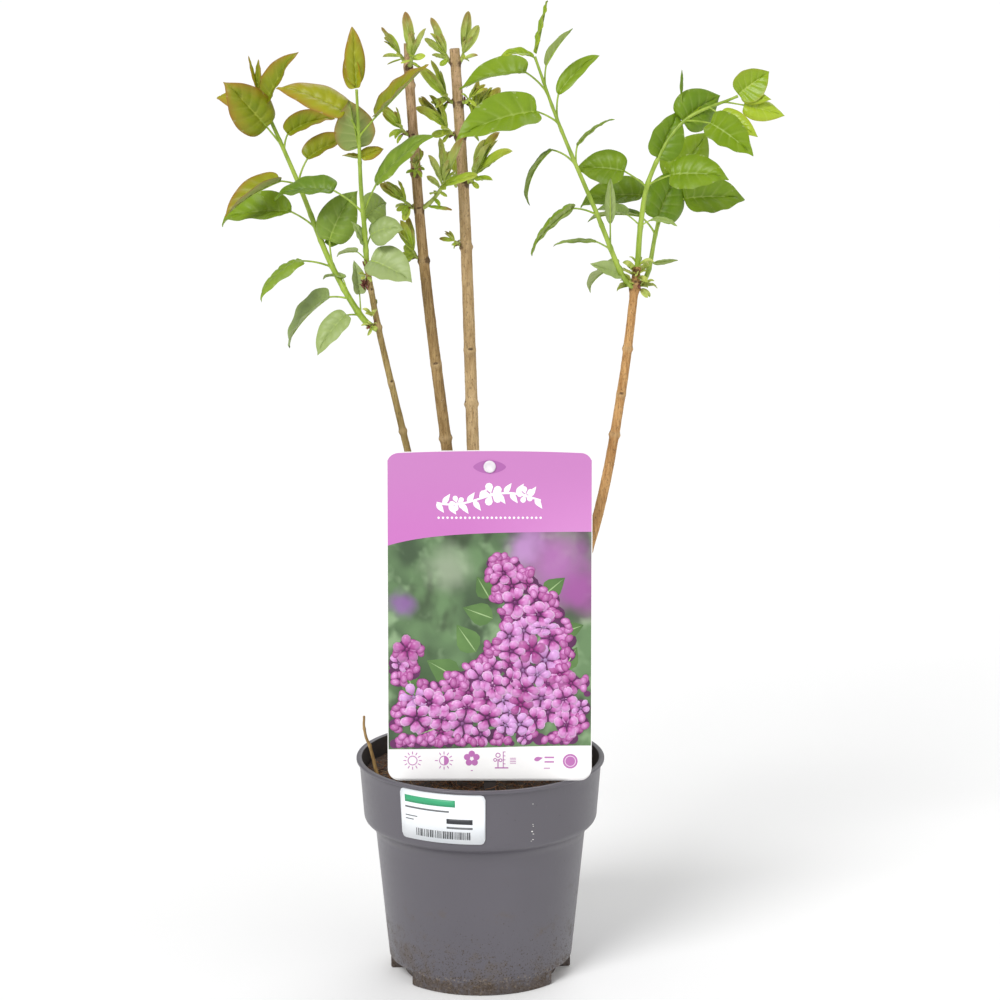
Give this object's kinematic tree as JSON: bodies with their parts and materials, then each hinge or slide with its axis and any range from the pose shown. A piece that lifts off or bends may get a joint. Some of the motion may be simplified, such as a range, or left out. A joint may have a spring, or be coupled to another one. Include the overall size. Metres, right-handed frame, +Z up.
{
  "type": "potted lilac bush",
  "caption": "Young lilac with cut-back canes, leafy side shoots and tufts of new leaves, in a banded nursery pot with a picture tag on a stake.",
  "frame": {"origin": "centre of the pot's flat underside, on the plane that it stands on", "axes": "+Z up, -Y to the front where the tag is, +X to the right of someone who looks at the front"},
  "size_m": [0.3352, 0.15, 0.5925],
  "materials": {
    "pot": "moulded grey plastic, soiled near the foot",
    "compost": "dark loose fibres",
    "bark": "smooth tan bark with small pale pores",
    "olive_bark": "smooth olive tan bark",
    "straw": "dry",
    "green_leaves": "smooth, slightly glossy",
    "bronze_leaves": "smooth, slightly glossy",
    "young_leaves": "smooth, bronze towards the tips",
    "tag_print": "smooth printed sheet",
    "tag_white": "smooth sheet",
    "stake": "satin",
    "button": "satin",
    "label": "satin paper"
  },
  "bodies": {
    "root": {"pot": "pot", "compost": "compost", "pot_label": "label", "crown": "bark", "cane_a": "olive_bark", "cane_b": "bark", "cane_c": "bark", "cane_d": "bark", "dead_twig": "straw", "shoot_a1": "bronze_leaves", "shoot_a2": "bronze_leaves", "shoot_d1": "green_leaves", "shoot_d2": "green_leaves", "shoot_d3": "green_leaves", "shoot_b1": "young_leaves", "shoot_b2": "young_leaves", "shoot_b3": "young_leaves", "shoot_c1": "young_leaves", "shoot_c2": "young_leaves", "tuft_b3": "young_leaves", "tuft_b4": "young_leaves", "tuft_b5": "young_leaves", "tuft_b6": "young_leaves", "tuft_b8": "young_leaves", "tuft_c3": "young_leaves", "tuft_c4": "young_leaves", "tuft_c5": "young_leaves", "tuft_c6": "young_leaves", "tuft_c7": "young_leaves", "tuft_c8": "young_leaves", "tuft_c9": "young_leaves", "tag_card": "tag_print", "tag_back": "tag_white", "tag_stake": "stake", "tag_button": "button"}
  },
  "joints": []
}
